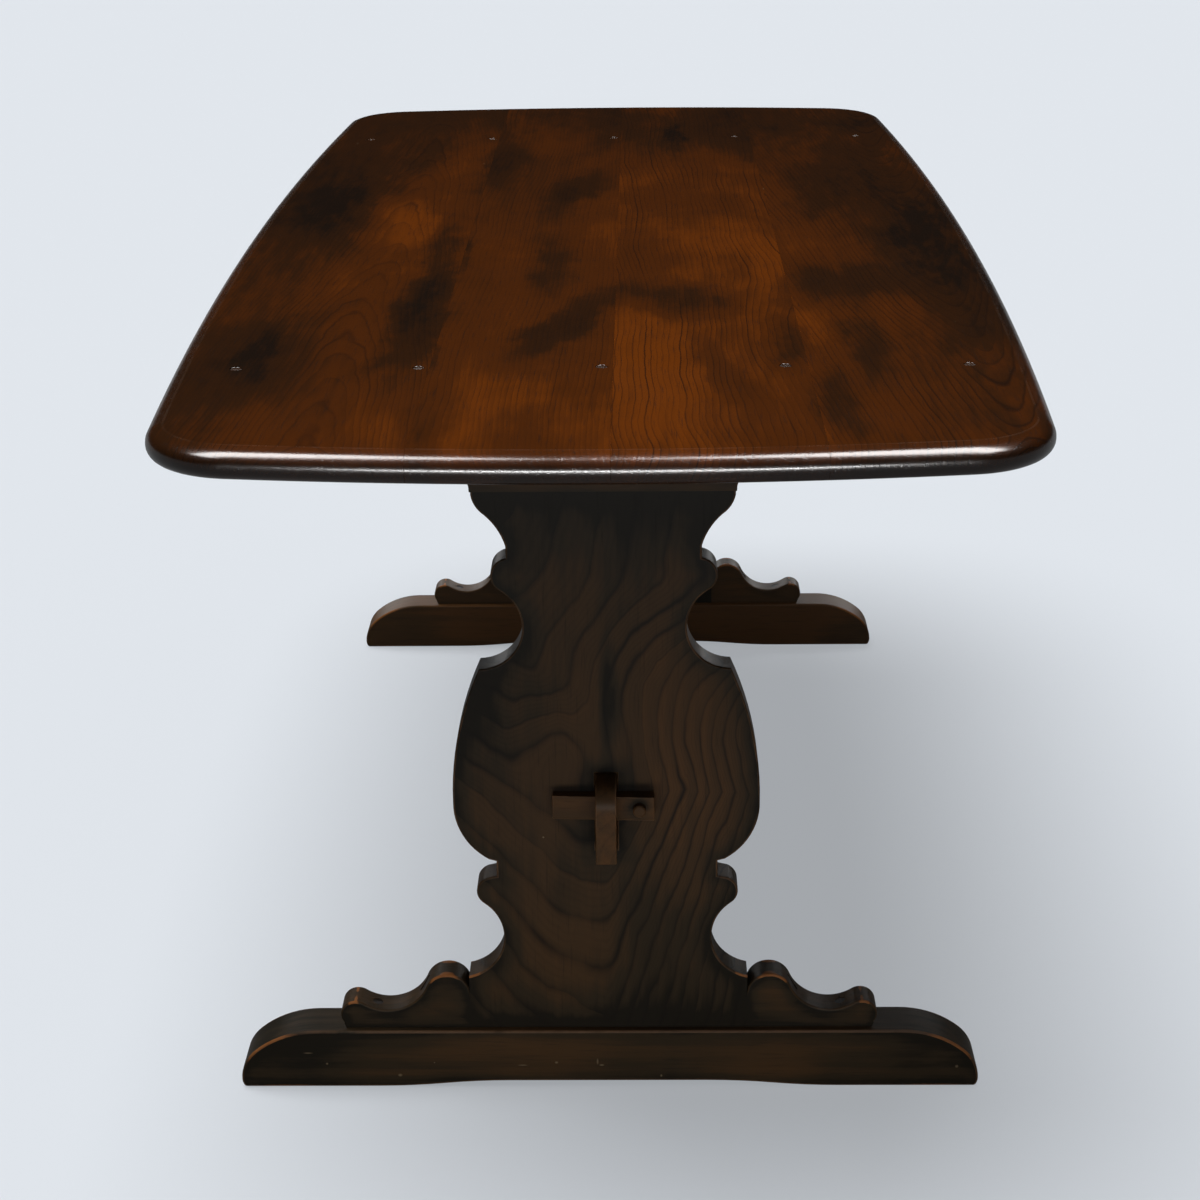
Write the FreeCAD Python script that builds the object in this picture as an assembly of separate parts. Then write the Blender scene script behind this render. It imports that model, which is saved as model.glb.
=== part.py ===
import FreeCAD, Part
import math
import os
from FreeCAD import Vector

# Trestle dining table in solid wood. Length along Y, width along X, floor at Z = 0, millimetres.
# The near trestle stands at -Y. The far one is the same trestle turned half round about Z.

# Overall
table_height = 720.0
trestle_end_inset = 258.5

# Top: four edge-glued boards with bowed sides and ends, round corners and a sloped, nosed edge
top_length = 1660.0
top_width = 788.0
top_thickness = 27.0
side_bow = 29.0
end_bow = 34.0
corner_radius = 85.0
edge_slope_width = 15.0
edge_slope_drop = 5.0
edge_nose_radius = 14.0
edge_under_radius = 11.0
# Glue joints between the boards: shares of the plug pitch, so that none runs through a plug
board_joint_shares = (-0.94, 0.0622, 1.124)

# Screws down through the top into each bearer, hidden by round plugs
plug_count = 5
plug_edge_inset = 72.0
plug_diameter = 11.0
plug_height = 9.0
plug_sink = 0.4

# Wood screws
screw_head_diameter = 9.0
screw_head_height = 3.6
screw_diameter = 5.0
screw_bite = 28.0
screw_play = 0.15

# Bearer: cross piece under the top, deepest over the panel, then coved and tapered to its ends
bearer_end_inset = 44.0
bearer_height = 81.0
bearer_thickness = 46.0
bearer_end_height = 30.0
bearer_flat_margin = 0.5
bearer_cove_radius = 20.0

# Foot: sled foot with rounded toes, hollowed underneath between two pads
foot_length = 719.0
foot_height = 62.0
foot_thickness = 46.0
toe_length = 75.0
toe_heel_height = 8.0
toe_heel_inset = 5.0
pad_inner_reach = 224.0
relief_height = 6.0
relief_sweep = 128.0

# End panel: one shaped board between foot and bearer, with a stub tenon at each end
panel_thickness = 30.0
panel_belly_width = 287.0
panel_base_width = 268.0
panel_head_width = 236.5
stub_width = 180.0
stub_thickness = 14.0
stub_depth = 24.0
stub_play = 0.2
# Right-hand edge, from the base up: share of the half belly width, share of the panel's height,
# and how far the stretch that ends there bulges out (+) or hollows in (-), as a share of its chord
panel_edge_shares = (
    (0.8195, 0.2458, -0.325),
    (0.794, 0.2945, 0.300),
    (0.728, 0.2985, 0.0),
    (0.728, 0.3270, 0.0),
    (0.776, 0.3304, 0.0),
    (1.000, 0.4380, 0.137),
    (0.805, 0.6845, 0.0545),
    (0.660, 0.8240, -0.3755),
    (0.635, 0.8790, 0.315),
    (0.615, 0.8805, 0.0),
    (0.615, 0.9010, 0.0),
    (0.7457, 0.9555, -0.0715),
)
panel_base_rise_share = 0.102
panel_head_share = 0.989
panel_head_bulge_share = 0.10

# Bracket: scrolled knee block on the foot, against the panel's straight base edge
bracket_length = 126.0
bracket_height = 58.0
# Scrolled edge from the toe up to the panel: shares of the length and the height, and the bulge
bracket_toe_share = 0.959
bracket_edge_shares = (
    (0.975, 0.075, 0.0),
    (0.817, 0.444, 0.429),
    (0.333, 0.760, -0.235),
    (0.0, 0.690, 0.370),
)
bracket_plug_diameter = 10.0
bracket_screw_head_diameter = 8.0
bracket_screw_bite = 30.0
bracket_screw_place_shares = (0.720, 0.350)
bracket_screw_seat_shares = (0.18, 0.42)
bracket_plug_sinks = (0.5, 1.5)

# Stretcher: rail on edge between the panels, with a through tenon at each end
stretcher_height = 110.0
stretcher_thickness = 28.0
tenon_height = 78.0
tenon_thickness = 19.5
tenon_reach = 32.0
tenon_round = 26.0
tenon_middle_height = 294.0
tenon_play = 0.2
key_slot_draw = 4.0
key_slot_play = 0.5

# Key: loose tapered wedge through the tenon, drawn up against the panel's outer face
key_height = 24.0
key_rise = 36.5
key_narrow_reach = 50.0
key_wide_reach = 45.0
key_narrow_thickness = 10.5
key_wide_thickness = 15.0

# Key peg: round stop through the wide end of the key
peg_diameter = 12.0
peg_proud = 7.0
peg_place = 31.0
peg_edge_ease = 1.2
peg_play = 0.12
peg_back_gap = 0.3

# Length by which a cutting shape runs past what it cuts
overrun = 5.0

# Radius of a round-over's tight end, as a share of its short reach
tight_end_share = 0.78

top_underside = table_height - top_thickness
edge_band = edge_slope_width + edge_under_radius
bearer_underside = top_underside - bearer_height
panel_height = bearer_underside - foot_height
trestle_middle = trestle_end_inset - top_length / 2
plug_pitch = (top_width - 2 * plug_edge_inset) / (plug_count - 1)
bearer_length = top_width - 2 * bearer_end_inset
panel_face = trestle_middle - panel_thickness / 2
panel_back = trestle_middle + panel_thickness / 2
base_half = panel_base_width / 2
head_half = panel_head_width / 2


def box(x_span, y_span, z_span):
    size = [span[1] - span[0] for span in (x_span, y_span, z_span)]
    return Part.makeBox(*size, Vector(x_span[0], y_span[0], z_span[0]))


def about(middle, width):
    return (middle - width / 2, middle + width / 2)


def line(start, end):
    return Part.LineSegment(start, end).toShape()


def bulged(start, end, bulge_share):
    # An arc from start to end in a plane across Y, standing off its chord by a share of the chord
    if bulge_share == 0:
        return line(start, end)
    chord = end - start
    outward = Vector(chord.z, 0, -chord.x)
    return Part.Arc(start, (start + end) / 2 + outward * bulge_share, end).toShape()


def arc_about(middle, start, end):
    # The shorter arc from start to end about its middle
    spread = (start - middle) + (end - middle)
    radius = (start - middle).Length
    return Part.Arc(start, middle + spread * (radius / spread.Length), end).toShape()


def round_over(start, corner, end):
    # Two arcs that meet smoothly: a wide one from the start of the long reach, a tight one to the end
    long_reach = (corner - start).Length
    short_reach = (end - corner).Length
    tight = tight_end_share * short_reach
    wide = ((long_reach - tight) ** 2 + short_reach ** 2 - tight ** 2) / (2 * (short_reach - tight))
    wide_middle = start + (end - corner) * (wide / short_reach)
    tight_middle = end - (corner - start) * (tight / long_reach)
    between = tight_middle - wide_middle
    meeting = wide_middle + between * (wide / between.Length)
    return [arc_about(wide_middle, start, meeting), arc_about(tight_middle, meeting, end)]


def level_sweep(start, end):
    # Two equal arcs in an S, level at both ends
    meeting = (start + end) / 2
    half = meeting - start
    rise = Vector(0, 0, half.Length ** 2 / (2 * half.z))
    return [arc_about(start + rise, start, meeting), arc_about(end - rise, meeting, end)]


def plate(edges, y_span):
    # The flat outline made by these edges, as a board of the given span in Y
    face = Part.Face(Part.Wire(Part.__sortEdges__(edges)))
    face.translate(Vector(0, y_span[0], 0))
    return face.extrude(Vector(0, y_span[1] - y_span[0], 0))


def mirrored_pair(half):
    other = half.mirror(Vector(0, 0, 0), Vector(1, 0, 0))
    return half.fuse(other).removeSplitter()


def turned(shape):
    copy = shape.copy()
    copy.rotate(Vector(0, 0, 0), Vector(0, 0, 1), 180)
    return copy


def rod(diameter, low, high, x, y):
    return Part.makeCylinder(diameter / 2, high - low, Vector(x, y, low))


def screw(seat, tip, x, y, head_diameter):
    head = rod(head_diameter, seat, seat + screw_head_height, x, y)
    shank = rod(screw_diameter, tip, seat, x, y)
    return head.fuse(shank).removeSplitter()


def screw_hole(seat, tip, mouth, x, y, bore_diameter):
    shank = rod(screw_diameter + 2 * screw_play, tip, seat, x, y)
    bore = rod(bore_diameter, seat, mouth, x, y)
    return shank.fuse(bore)


# Top

def plan_arcs():
    # The plan's edge, counterclockwise: each arc's middle, start and end
    half_length = top_length / 2
    half_width = top_width / 2
    side_radius = (half_length ** 2 + side_bow ** 2) / (2 * side_bow)
    end_radius = (half_width ** 2 + end_bow ** 2) / (2 * end_bow)
    side_middle = Vector(half_width - side_radius, 0, 0)
    end_middle = Vector(0, half_length - end_radius, 0)
    # The corner's middle lies at these distances from the middles of the two arcs that it joins
    side_gap = side_radius - corner_radius
    end_gap = end_radius - corner_radius
    between = end_middle - side_middle
    span = between.Length
    along = (side_gap ** 2 - end_gap ** 2 + span ** 2) / (2 * span)
    across = math.sqrt(side_gap ** 2 - along ** 2)
    unit = between / span
    corner_middle = side_middle + unit * along + Vector(-unit.y, unit.x, 0) * across
    on_side = side_middle + (corner_middle - side_middle) * (side_radius / side_gap)
    on_end = end_middle + (corner_middle - end_middle) * (end_radius / end_gap)

    def other_side(point):
        return Vector(-point.x, point.y, 0)

    half = [
        (side_middle, Vector(on_side.x, -on_side.y, 0), on_side),
        (corner_middle, on_side, on_end),
        (end_middle, on_end, other_side(on_end)),
        (other_side(corner_middle), other_side(on_end), other_side(on_side)),
    ]
    return half + [tuple(-point for point in arc) for arc in half]


def drawn_in(middle, point, inset, z):
    # The point moved towards its arc's middle by the inset, at height z
    outward = point - middle
    return middle + outward * (1 - inset / outward.Length) + Vector(0, 0, z)


def edge_moulding(middle, start, end):
    # The edge's section, a slope, a round nose and a round underside, turned about the arc's middle
    def at(inset, z):
        return drawn_in(middle, start, inset, z)

    slope = math.atan2(edge_slope_drop, edge_slope_width)
    turn = math.pi / 2 - slope
    reach = edge_nose_radius * math.tan(turn / 2)
    nose = table_height - edge_slope_drop
    arris = at(edge_slope_width, table_height)
    nose_middle = at(edge_nose_radius, nose - reach)
    nose_top = at(reach * math.cos(slope), nose + reach * math.sin(slope))
    nose_foot = at(0, nose - reach)
    under_middle = at(edge_under_radius, top_underside + edge_under_radius)
    under_top = at(0, top_underside + edge_under_radius)
    under_foot = at(edge_under_radius, top_underside)
    inner_top = at(edge_band, table_height)
    inner_foot = at(edge_band, top_underside)
    section = [
        line(inner_top, arris),
        line(arris, nose_top),
        arc_about(nose_middle, nose_top, nose_foot),
        line(nose_foot, under_top),
        arc_about(under_middle, under_top, under_foot),
        line(under_foot, inner_foot),
        line(inner_foot, inner_top),
    ]
    sweep = math.degrees((start - middle).getAngle(end - middle))
    return Part.Face(Part.Wire(section)).revolve(middle, Vector(0, 0, 1), sweep)


def top_slab():
    arcs = plan_arcs()
    edges = []
    for middle, start, end in arcs:
        low = Vector(middle.x, middle.y, top_underside)
        ends = [drawn_in(middle, point, edge_band, top_underside) for point in (start, end)]
        edges.append(arc_about(low, *ends))
    field = Part.Face(Part.Wire(edges)).extrude(Vector(0, 0, top_thickness))
    return field.fuse([edge_moulding(*arc) for arc in arcs]).removeSplitter()


plug_places = [plug_pitch * (index - (plug_count - 1) / 2) for index in range(plug_count)]
plug_face = table_height - plug_sink
plug_foot = plug_face - plug_height
top_screw_seat = plug_foot - screw_head_height
top_screw_tip = top_underside - screw_bite
trestle_lines = (trestle_middle, -trestle_middle)


def top_screw_hole(x, y):
    return screw_hole(top_screw_seat, top_screw_tip, table_height + overrun, x, y, plug_diameter)


def top_plug(x):
    return rod(plug_diameter, plug_foot, plug_face, x, trestle_middle)


def top_screw(x):
    return screw(top_screw_seat, top_screw_tip, x, trestle_middle, screw_head_diameter)


def top_boards():
    slab = top_slab().cut([top_screw_hole(x, y) for y in trestle_lines for x in plug_places])
    outer = top_width / 2 + overrun
    joints = [share * plug_pitch for share in board_joint_shares]
    limits = [-outer] + joints + [outer]
    length = about(0, top_length + 2 * overrun)
    depth = (top_underside - overrun, table_height + overrun)
    return [slab.common(box(span, length, depth)) for span in zip(limits, limits[1:])]


# Trestle

def bearer():
    flat = head_half + bearer_flat_margin
    end = bearer_length / 2
    cove_middle = Vector(flat + bearer_cove_radius, 0, bearer_underside)
    pad = Vector(flat, 0, bearer_underside)
    cove_top = cove_middle + Vector(0, 0, bearer_cove_radius)
    corners = [
        cove_top,
        Vector(end, 0, top_underside - bearer_end_height),
        Vector(end, 0, top_underside),
        Vector(0, 0, top_underside),
        Vector(0, 0, bearer_underside),
        pad,
    ]
    edges = [line(start, stop) for start, stop in zip(corners, corners[1:])]
    edges.append(arc_about(cove_middle, pad, cove_top))
    block = mirrored_pair(plate(edges, about(trestle_middle, bearer_thickness)))
    holes = [top_screw_hole(x, trestle_middle) for x in plug_places]
    return block.cut(holes + [stub(bearer_underside, stub_depth, stub_play)])


def stub(root, depth, play):
    # A stub tenon, or its mortise with play on the sides, from its root up by the depth
    reach = depth + math.copysign(play, depth)
    width = about(0, stub_width + 2 * play)
    thickness = about(trestle_middle, stub_thickness + 2 * play)
    return box(width, thickness, sorted((root, root + reach)))


def panel():
    belly_half = panel_belly_width / 2
    points = [(base_half, 0, 0), (base_half, panel_base_rise_share * panel_height, 0)]
    for width_share, height_share, bulge_share in panel_edge_shares:
        points.append((width_share * belly_half, height_share * panel_height, bulge_share))
    points.append((head_half, panel_head_share * panel_height, panel_head_bulge_share))
    points.append((head_half, panel_height, 0))
    places = [Vector(x, 0, foot_height + rise) for x, rise, bulge_share in points]
    edges = []
    for start, stop, point in zip(places, places[1:], points[1:]):
        edges.append(bulged(start, stop, point[2]))
    middle_low = Vector(0, 0, foot_height)
    middle_high = Vector(0, 0, bearer_underside)
    edges += [line(places[-1], middle_high), line(middle_high, middle_low), line(middle_low, places[0])]
    board = mirrored_pair(plate(edges, (panel_face, panel_back)))
    board = board.fuse([stub(foot_height, -stub_depth, 0), stub(bearer_underside, stub_depth, 0)])
    mortise_width = about(0, tenon_thickness + 2 * tenon_play)
    mortise_depth = (panel_face - overrun, panel_back + overrun)
    mortise_height = about(tenon_middle_height, tenon_height + 2 * tenon_play)
    return board.removeSplitter().cut(box(mortise_width, mortise_depth, mortise_height))


def foot():
    toe = foot_length / 2
    crown = Vector(toe - toe_length, 0, foot_height)
    heel = Vector(toe, 0, toe_heel_height)
    sole = Vector(toe - toe_heel_inset, 0, 0)
    pad = Vector(pad_inner_reach, 0, 0)
    arch = Vector(pad_inner_reach - relief_sweep, 0, relief_height)
    middle_low = Vector(0, 0, relief_height)
    middle_high = Vector(0, 0, foot_height)
    edges = [line(middle_high, crown)]
    edges += round_over(crown, Vector(toe, 0, foot_height), heel)
    edges += round_over(heel, Vector(toe, 0, 0), sole)
    edges.append(line(sole, pad))
    edges += level_sweep(pad, arch)
    edges += [line(arch, middle_low), line(middle_low, middle_high)]
    block = mirrored_pair(plate(edges, about(trestle_middle, foot_thickness)))
    holes = [bracket_screw_hole(index, side) for index in (0, 1) for side in (1, -1)]
    return block.cut(holes + [stub(foot_height, -stub_depth, stub_play)])


def bracket_block():
    inner = Vector(base_half, 0, foot_height)
    points = [inner + Vector(bracket_toe_share * bracket_length, 0, 0)]
    edges = [line(inner, points[0])]
    for length_share, height_share, bulge_share in bracket_edge_shares:
        points.append(inner + Vector(length_share * bracket_length, 0, height_share * bracket_height))
        edges.append(bulged(points[-2], points[-1], bulge_share))
    edges.append(line(points[-1], inner))
    return plate(edges, (panel_face, panel_back))


def bracket_screw_place(index, side):
    x = side * (base_half + bracket_screw_place_shares[index] * bracket_length)
    seat = foot_height + bracket_screw_seat_shares[index] * bracket_height
    return x, seat, foot_height - bracket_screw_bite


def bracket_screw_hole(index, side):
    x, seat, tip = bracket_screw_place(index, side)
    mouth = foot_height + bracket_height + overrun
    return screw_hole(seat, tip, mouth, x, trestle_middle, bracket_plug_diameter)


def on_side(shape, side):
    return shape if side > 0 else shape.mirror(Vector(0, 0, 0), Vector(1, 0, 0))


def bracket(side):
    return on_side(bracket_block(), side).cut([bracket_screw_hole(index, side) for index in (0, 1)])


def bracket_screw(index, side):
    x, seat, tip = bracket_screw_place(index, side)
    return screw(seat, tip, x, trestle_middle, bracket_screw_head_diameter)


def bracket_plug(index, side):
    # The plug follows the scroll's surface, a little below it
    x, seat, tip = bracket_screw_place(index, side)
    lowered = on_side(bracket_block(), side)
    lowered.translate(Vector(0, 0, -bracket_plug_sinks[index]))
    mouth = foot_height + bracket_height
    return lowered.common(rod(bracket_plug_diameter, seat + screw_head_height, mouth, x, trestle_middle))


# Stretcher and its keys

key_foot = tenon_middle_height - tenon_height / 2 + key_rise


def key_front(x):
    wedge_length = key_narrow_reach + key_wide_reach
    slope = (key_wide_thickness - key_narrow_thickness) / wedge_length
    return panel_face - key_narrow_thickness - slope * (x + key_narrow_reach)


def wedge(x_span, back, low, high):
    corners = [
        Vector(x_span[0], back, low),
        Vector(x_span[1], back, low),
        Vector(x_span[1], key_front(x_span[1]), low),
        Vector(x_span[0], key_front(x_span[0]), low),
    ]
    return Part.Face(Part.makePolygon(corners + corners[:1])).extrude(Vector(0, 0, high - low))


def tenon():
    low = tenon_middle_height - tenon_height / 2
    high = tenon_middle_height + tenon_height / 2
    outer = panel_face - tenon_reach
    root_low = Vector(0, panel_back, low)
    root_high = Vector(0, panel_back, high)
    end_low = Vector(0, outer, low)
    end_high = Vector(0, outer, high - tenon_round)
    shoulder = Vector(0, outer + tenon_round, high)
    edges = [
        line(root_high, root_low),
        line(root_low, end_low),
        line(end_low, end_high),
        arc_about(Vector(0, outer + tenon_round, high - tenon_round), end_high, shoulder),
        line(shoulder, root_high),
    ]
    face = Part.Face(Part.Wire(Part.__sortEdges__(edges)))
    face.translate(Vector(-tenon_thickness / 2, 0, 0))
    slot_width = about(0, tenon_thickness + 2 * overrun)
    slot_top = key_foot + key_height + key_slot_play
    slot = wedge(slot_width, panel_face + key_slot_draw, key_foot, slot_top)
    return face.extrude(Vector(tenon_thickness, 0, 0)).cut(slot)


def stretcher():
    thickness = about(0, stretcher_thickness)
    height = about(tenon_middle_height, stretcher_height)
    rail = box(thickness, (panel_back, -panel_back), height)
    return rail.fuse([tenon(), turned(tenon())]).removeSplitter()


def peg_rod(diameter, back, front):
    middle = Vector(peg_place, back, key_foot + key_height / 2)
    return Part.makeCylinder(diameter / 2, back - front, middle, Vector(0, -1, 0))


def key():
    body = wedge((-key_narrow_reach, key_wide_reach), panel_face, key_foot, key_foot + key_height)
    hole = peg_rod(peg_diameter + 2 * peg_play, panel_face + overrun, key_front(peg_place) - overrun)
    return body.cut(hole)


def key_peg():
    front = key_front(peg_place) - peg_proud
    peg = peg_rod(peg_diameter, panel_face - peg_back_gap, front)
    rim = [edge for edge in peg.Edges if edge.BoundBox.YMax < front + peg_edge_ease]
    return peg.makeChamfer(peg_edge_ease, rim)


# All the pieces by name

def trestle_pieces():
    pieces = {
        "bearer": bearer(),
        "end_panel": panel(),
        "foot": foot(),
        "key": key(),
        "key_peg": key_peg(),
    }
    sides = (-1, 1)
    for number, side in enumerate(sides, 1):
        pieces[f"bracket_{number}"] = bracket(side)
    # Like screws and plugs are one group of separate solids
    pieces["top_plugs"] = Part.makeCompound([top_plug(x) for x in plug_places])
    pieces["top_screws"] = Part.makeCompound([top_screw(x) for x in plug_places])
    for index, place in enumerate(("toe", "knee")):
        screws = [bracket_screw(index, side) for side in sides]
        plugs = [bracket_plug(index, side) for side in sides]
        pieces[f"bracket_{place}_screws"] = Part.makeCompound(screws)
        pieces[f"bracket_{place}_plugs"] = Part.makeCompound(plugs)
    return pieces


nodes = {f"top_board_{number}": board for number, board in enumerate(top_boards(), 1)}
nodes["stretcher"] = stretcher()
for name, piece in trestle_pieces().items():
    nodes[f"near_{name}"] = piece
    nodes[f"far_{name}"] = turned(piece)

os.makedirs("parts", exist_ok=True)
for name, piece in nodes.items():
    solids = piece.Solids
    if not piece.isValid():
        print("unsound:", name)
    print(name, len(solids))
    shape = solids[0] if len(solids) == 1 else Part.makeCompound(solids)
    shape.exportStep(f"parts/{name}.step")
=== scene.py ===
import math

import bmesh
import bpy
from mathutils import Matrix, Vector, kdtree


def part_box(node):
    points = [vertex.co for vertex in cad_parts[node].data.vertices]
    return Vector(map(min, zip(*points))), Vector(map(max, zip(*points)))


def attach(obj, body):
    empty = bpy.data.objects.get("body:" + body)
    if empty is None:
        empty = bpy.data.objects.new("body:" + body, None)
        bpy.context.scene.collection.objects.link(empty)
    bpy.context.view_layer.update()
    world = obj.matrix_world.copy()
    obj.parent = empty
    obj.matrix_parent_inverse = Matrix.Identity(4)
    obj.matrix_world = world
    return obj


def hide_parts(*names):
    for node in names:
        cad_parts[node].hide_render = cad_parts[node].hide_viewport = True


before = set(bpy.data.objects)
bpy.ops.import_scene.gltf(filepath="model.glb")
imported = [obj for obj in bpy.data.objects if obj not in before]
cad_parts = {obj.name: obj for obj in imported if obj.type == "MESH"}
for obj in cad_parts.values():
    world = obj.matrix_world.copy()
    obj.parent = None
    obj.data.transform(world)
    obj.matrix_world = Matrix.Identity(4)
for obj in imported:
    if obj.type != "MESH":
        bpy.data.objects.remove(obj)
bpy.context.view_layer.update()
print("frame loaded:", len(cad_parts), "nodes")

zAxis = Vector((0, 0, 1))


# Node helpers

def put(tree, kind, inputs=None, **settings):
    node = tree.nodes.new(kind)
    for name, value in settings.items():
        setattr(node, name, value)
    for key, value in (inputs or {}).items():
        if isinstance(value, bpy.types.NodeSocket):
            tree.links.new(value, node.inputs[key])
        else:
            node.inputs[key].default_value = value
    return node


def calc(tree, operation, *values):
    return put(tree, "ShaderNodeMath", dict(enumerate(values)), operation=operation).outputs[0]


def times(tree, first, second):
    return calc(tree, "MULTIPLY", first, second)


def timesPlus(tree, first, second, third):
    return calc(tree, "MULTIPLY_ADD", first, second, third)


def aim(tree, operation, *values):
    return put(tree, "ShaderNodeVectorMath", dict(enumerate(values)), operation=operation).outputs[0]


def lengthOf(tree, vector):
    return put(tree, "ShaderNodeVectorMath", {0: vector}, operation="LENGTH").outputs["Value"]


def partsOf(tree, vector):
    return put(tree, "ShaderNodeSeparateXYZ", {0: vector}).outputs


def noise(tree, vector, scale, detail, roughness, output="Fac", distortion=0.0):
    inputs = {"Vector": vector, "Scale": scale, "Detail": detail, "Roughness": roughness}
    return put(tree, "ShaderNodeTexNoise", {**inputs, "Distortion": distortion}).outputs[output]


def wobble(tree, vector, scale, detail, roughness):
    # A direction that wanders, about half a unit each way
    drift = noise(tree, vector, scale, detail, roughness, "Color")
    return aim(tree, "SUBTRACT", drift, (0.5, 0.5, 0.5))


def fade(tree, value, none, full):
    # 0 up to none, 1 from full on, smooth between. Either can be the lower one
    inputs = {"Value": value, "From Min": none, "From Max": full}
    return put(tree, "ShaderNodeMapRange", inputs, interpolation_type="SMOOTHSTEP").outputs["Result"]


def blendColour(tree, share, first, second):
    inputs = {0: share, 6: first, 7: second}  # a Mix node's sockets for colours
    return put(tree, "ShaderNodeMix", inputs, data_type="RGBA").outputs[2]


def attribute(tree, name):
    return put(tree, "ShaderNodeAttribute", attribute_name=name).outputs["Fac"]


# A group with named inputs, built once. makeNodes puts in its nodes and returns what it gives out
def shaderGroup(name, makeNodes, vectors=(), floats=()):
    tree = bpy.data.node_groups.new(name, "ShaderNodeTree")
    for kind, labels in (("Vector", ("Vector", *vectors)), ("Float", floats)):
        for label in labels:
            tree.interface.new_socket(label, in_out="INPUT", socket_type="NodeSocket" + kind)
    gives = makeNodes(tree, tree.nodes.new("NodeGroupInput").outputs)
    for label in gives:
        tree.interface.new_socket(label, in_out="OUTPUT", socket_type="NodeSocketFloat")
    end = tree.nodes.new("NodeGroupOutput").inputs
    for label, value in gives.items():
        tree.links.new(value, end[label])
    return tree


def fill(tree, group, vector, look):
    # Each input but the vector comes from the look, where it has the same name in camelCase
    inputs = {"Vector": vector}
    for item in group.interface.items_tree:
        if item.in_out == "INPUT" and item.name not in inputs:
            inputs[item.name] = look[item.name[0].lower() + item.name[1:].replace(" ", "")]
    return put(tree, "ShaderNodeGroup", inputs, node_tree=group).outputs


def weighed(tree, total, *terms):
    # The total with each mask added by its share
    for mask, share in terms:
        total = timesPlus(tree, mask, share, total)
    return total


def fromMiddle(tree, share):
    # 0 halfway between two rings, 1 at each ring
    return calc(tree, "ABSOLUTE", timesPlus(tree, share, 2.0, -1.0))


# Growth rings about a heart line along Y, as a board sawn from a log shows them. The heart can lean to
# one side, rings can be closer on the right, and they part round a knot
def ringNodes(tree, take):
    rippleScale, finerLines = 48.0, 5.0
    drawn = aim(tree, "MULTIPLY", take["Vector"], (1.0, 0.45, 1.0))
    place = take["Vector"]
    for scale, amount in ((take["Wave Scale"], take["Waviness"]), (rippleScale, take["Ripple"])):
        drift = {0: wobble(tree, drawn, scale, 2.0, 0.45), "Scale": amount}
        drift = put(tree, "ShaderNodeVectorMath", drift, operation="SCALE").outputs[0]
        place = aim(tree, "ADD", place, drift)
    fromKnot = aim(tree, "MULTIPLY", aim(tree, "SUBTRACT", place, take["Knot"]), (1.0, 0.7, 0.0))
    knot = fade(tree, calc(tree, "DIVIDE", lengthOf(tree, fromKnot), take["Knot Size"]), 1.0, 0.0)
    x, y, z = partsOf(tree, aim(tree, "SUBTRACT", place, take["Heart"]))
    above = calc(tree, "MAXIMUM", calc(tree, "SUBTRACT", y, take["Lean From"]), 0.0)
    aside = calc(tree, "SUBTRACT", x, times(tree, above, take["Lean"]))
    wider = fade(tree, y, take["Spread From"], take["Spread To"])
    closer = calc(tree, "SUBTRACT", take["Crowding"], times(tree, wider, take["Spread"]))
    across = calc(tree, "MAXIMUM", times(tree, aside, closer), times(tree, aside, -1.0))
    squares = timesPlus(tree, across, across, times(tree, z, z))
    girth = calc(tree, "SUBTRACT", calc(tree, "SQRT", squares), times(tree, y, take["Taper"]))
    girth = timesPlus(tree, knot, take["Knot Lift"], girth)
    phase = calc(tree, "DIVIDE", girth, take["Ring Spacing"])
    ring = calc(tree, "FRACT", phase)
    # Each ring's line has its own depth and breadth
    chance = put(tree, "ShaderNodeTexWhiteNoise", {"W": calc(tree, "ROUND", phase)}, noise_dimensions="1D")
    strength = timesPlus(tree, chance.outputs["Value"], 0.6, 0.4)
    inner = calc(tree, "SUBTRACT", 1.0, times(tree, take["Line Width"], strength))
    line = times(tree, fade(tree, fromMiddle(tree, ring), inner, 1.0), strength)
    # Fainter lines between. All lines come and go
    finer = fromMiddle(tree, calc(tree, "FRACT", times(tree, phase, finerLines)))
    shown = fade(tree, noise(tree, drawn, 11.0, 3.0, 0.6), 0.32, 0.62)
    shown = timesPlus(tree, shown, 0.75, 0.25)
    fine = times(tree, fade(tree, finer, 0.3, 1.0), shown)
    return {"Ring": ring, "Line": times(tree, line, shown), "Fine": fine}


# Fine pores and tone streaks drawn out along Y
def poreNodes(tree, take):
    pores = noise(tree, aim(tree, "MULTIPLY", take["Vector"], (520.0, 22.0, 520.0)), 1.0, 2.0, 0.55)
    streak = noise(tree, aim(tree, "MULTIPLY", take["Vector"], (95.0, 4.0, 95.0)), 1.0, 4.0, 0.6)
    return {"Pores": fade(tree, pores, 0.56, 0.74), "Streak": fade(tree, streak, 0.28, 0.72)}


# Dark clouds where the stain has soaked in
def cloudNodes(tree, take):
    drawn = aim(tree, "MULTIPLY", take["Vector"], (1.0, 0.4, 1.0))
    cloud = noise(tree, drawn, take["Cloud Scale"], 4.0, 0.55, distortion=0.4)
    return {"Cloud": fade(tree, cloud, take["Cloud Low"], take["Cloud High"])}


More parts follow.
